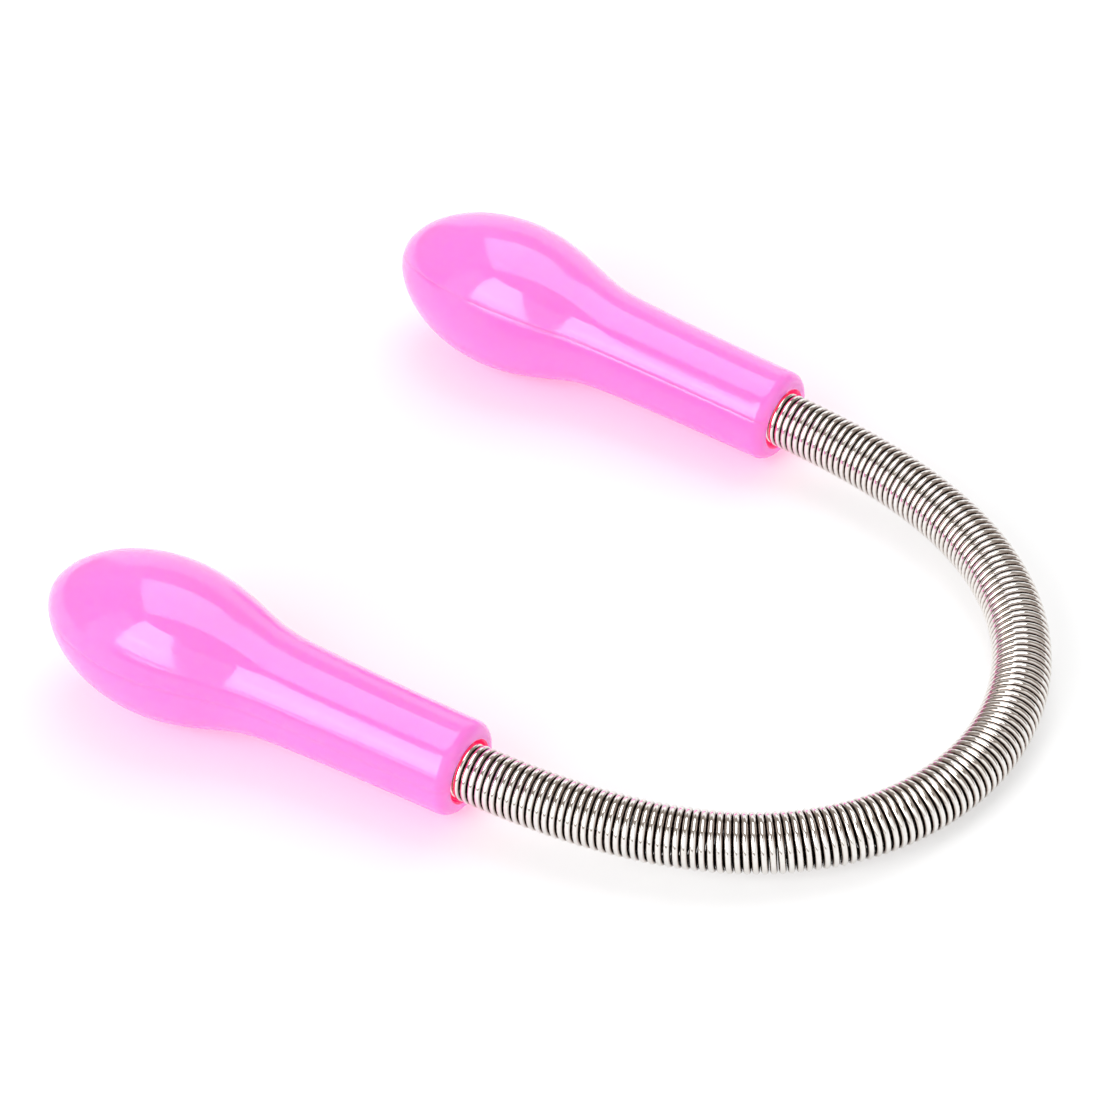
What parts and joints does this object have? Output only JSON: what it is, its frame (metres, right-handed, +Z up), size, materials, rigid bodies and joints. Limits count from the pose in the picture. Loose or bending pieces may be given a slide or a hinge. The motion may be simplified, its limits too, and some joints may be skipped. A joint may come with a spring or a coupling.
{
  "type": "facial hair removal spring",
  "caption": "Flexible steel coil bent into a U, held at each end in a hollow two-shell bulb handle, for rolling over the skin to pull out fine facial hair.",
  "frame": {"origin": "middle of the bounding box's base, on the ground that both bulbs and the bend of the coil rest on", "axes": "+X from the handles towards the bend of the coil, +Y from handle A to handle B, +Z up; the plane of the U leans down towards +X by 4 degrees"},
  "size_m": [0.1098, 0.091, 0.0194],
  "materials": {
    "pink_plastic": "glossy, slightly translucent",
    "spring_steel": "polished wire"
  },
  "bodies": {
    "coil_middle": {"coil_middle": "spring_steel"},
    "coil_a1": {"coil_a1": "spring_steel"},
    "coil_a2": {"coil_a2": "spring_steel"},
    "coil_a3": {"coil_a3": "spring_steel"},
    "coil_a4": {"coil_a4": "spring_steel"},
    "coil_a5": {"coil_a5": "spring_steel"},
    "coil_a6": {"coil_a6": "spring_steel"},
    "coil_a7": {"coil_a7": "spring_steel"},
    "handle_a": {"handle_a_upper_shell": "pink_plastic", "handle_a_lower_shell": "pink_plastic", "coil_end_a": "spring_steel"},
    "coil_b1": {"coil_b1": "spring_steel"},
    "coil_b2": {"coil_b2": "spring_steel"},
    "coil_b3": {"coil_b3": "spring_steel"},
    "coil_b4": {"coil_b4": "spring_steel"},
    "coil_b5": {"coil_b5": "spring_steel"},
    "coil_b6": {"coil_b6": "spring_steel"},
    "coil_b7": {"coil_b7": "spring_steel"},
    "handle_b": {"handle_b_upper_shell": "pink_plastic", "handle_b_lower_shell": "pink_plastic", "coil_end_b": "spring_steel"}
  },
  "joints": [
    {"name": "flex_a1", "type": "hinge", "parent": "coil_middle", "child": "coil_a1", "pos_m": [0.05129, -0.00313, 0.00351], "axis": [-0.0687, 0, -0.9976], "range_deg": [-12.38, 2.5], "stiffness_Nm_per_rad": 0.018},
    {"name": "flex_a2", "type": "hinge", "parent": "coil_a1", "child": "coil_a2", "pos_m": [0.04995, -0.00923, 0.0036], "axis": [-0.0687, 0, -0.9976], "range_deg": [-12.2, 2.47], "stiffness_Nm_per_rad": 0.018},
    {"name": "flex_a3", "type": "hinge", "parent": "coil_a2", "child": "coil_a3", "pos_m": [0.04736, -0.01491, 0.00378], "axis": [-0.0687, 0, -0.9976], "range_deg": [-13.2, 2.67], "stiffness_Nm_per_rad": 0.018},
    {"name": "flex_a4", "type": "hinge", "parent": "coil_a3", "child": "coil_a4", "pos_m": [0.04259, -0.02108, 0.00411], "axis": [-0.0687, 0, -0.9976], "range_deg": [-13.55, 2.74], "stiffness_Nm_per_rad": 0.018},
    {"name": "flex_a5", "type": "hinge", "parent": "coil_a4", "child": "coil_a5", "pos_m": [0.03651, -0.02597, 0.00453], "axis": [-0.0687, 0, -0.9976], "range_deg": [-11.75, 2.38], "stiffness_Nm_per_rad": 0.018},
    {"name": "flex_a6", "type": "hinge", "parent": "coil_a5", "child": "coil_a6", "pos_m": [0.02956, -0.02951, 0.00501], "axis": [-0.0687, 0, -0.9976], "range_deg": [-12.28, 2.49], "stiffness_Nm_per_rad": 0.018},
    {"name": "flex_a7", "type": "hinge", "parent": "coil_a6", "child": "coil_a7", "pos_m": [0.01599, -0.03308, 0.00594], "axis": [-0.0687, 0, -0.9976], "range_deg": [-12.52, 2.54], "stiffness_Nm_per_rad": 0.018},
    {"name": "roll_a", "type": "hinge", "parent": "coil_a7", "child": "handle_a", "pos_m": [0.00356, -0.03424, 0.0068], "axis": [0.9969, 0.0384, -0.0687], "continuous": true},
    {"name": "flex_b1", "type": "hinge", "parent": "coil_middle", "child": "coil_b1", "pos_m": [0.05129, 0.00313, 0.00351], "axis": [0.0687, 0, 0.9976], "range_deg": [-12.4, 2.51], "stiffness_Nm_per_rad": 0.018},
    {"name": "flex_b2", "type": "hinge", "parent": "coil_b1", "child": "coil_b2", "pos_m": [0.04995, 0.00923, 0.0036], "axis": [0.0687, 0, 0.9976], "range_deg": [-12.2, 2.47], "stiffness_Nm_per_rad": 0.018},
    {"name": "flex_b3", "type": "hinge", "parent": "coil_b2", "child": "coil_b3", "pos_m": [0.04736, 0.01491, 0.00378], "axis": [0.0687, 0, 0.9976], "range_deg": [-13.2, 2.67], "stiffness_Nm_per_rad": 0.018},
    {"name": "flex_b4", "type": "hinge", "parent": "coil_b3", "child": "coil_b4", "pos_m": [0.04259, 0.02108, 0.00411], "axis": [0.0687, 0, 0.9976], "range_deg": [-13.55, 2.74], "stiffness_Nm_per_rad": 0.018},
    {"name": "flex_b5", "type": "hinge", "parent": "coil_b4", "child": "coil_b5", "pos_m": [0.03651, 0.02597, 0.00453], "axis": [0.0687, 0, 0.9976], "range_deg": [-11.75, 2.38], "stiffness_Nm_per_rad": 0.018},
    {"name": "flex_b6", "type": "hinge", "parent": "coil_b5", "child": "coil_b6", "pos_m": [0.02956, 0.02951, 0.00501], "axis": [0.0687, 0, 0.9976], "range_deg": [-12.28, 2.49], "stiffness_Nm_per_rad": 0.018},
    {"name": "flex_b7", "type": "hinge", "parent": "coil_b6", "child": "coil_b7", "pos_m": [0.01599, 0.03308, 0.00594], "axis": [0.0687, 0, 0.9976], "range_deg": [-12.52, 2.54], "stiffness_Nm_per_rad": 0.018},
    {"name": "roll_b", "type": "hinge", "parent": "coil_b7", "child": "handle_b", "pos_m": [0.00356, 0.03424, 0.0068], "axis": [-0.9969, 0.0384, 0.0687], "continuous": true}
  ],
  "couplings": [
    {"joint": "flex_a2", "follows": "flex_a1", "ratio": 0.9849},
    {"joint": "flex_a3", "follows": "flex_a1", "ratio": 1.0654},
    {"joint": "flex_a4", "follows": "flex_a1", "ratio": 1.0933},
    {"joint": "flex_a5", "follows": "flex_a1", "ratio": 0.9475},
    {"joint": "flex_a6", "follows": "flex_a1", "ratio": 0.9907},
    {"joint": "flex_a7", "follows": "flex_a1", "ratio": 1.0098},
    {"joint": "flex_b1", "follows": "flex_a1", "ratio": 1},
    {"joint": "flex_b2", "follows": "flex_a1", "ratio": 0.9849},
    {"joint": "flex_b3", "follows": "flex_a1", "ratio": 1.0654},
    {"joint": "flex_b4", "follows": "flex_a1", "ratio": 1.0933},
    {"joint": "flex_b5", "follows": "flex_a1", "ratio": 0.9475},
    {"joint": "flex_b6", "follows": "flex_a1", "ratio": 0.9907},
    {"joint": "flex_b7", "follows": "flex_a1", "ratio": 1.0098},
    {"joint": "roll_b", "follows": "roll_a", "ratio": 1}
  ]
}
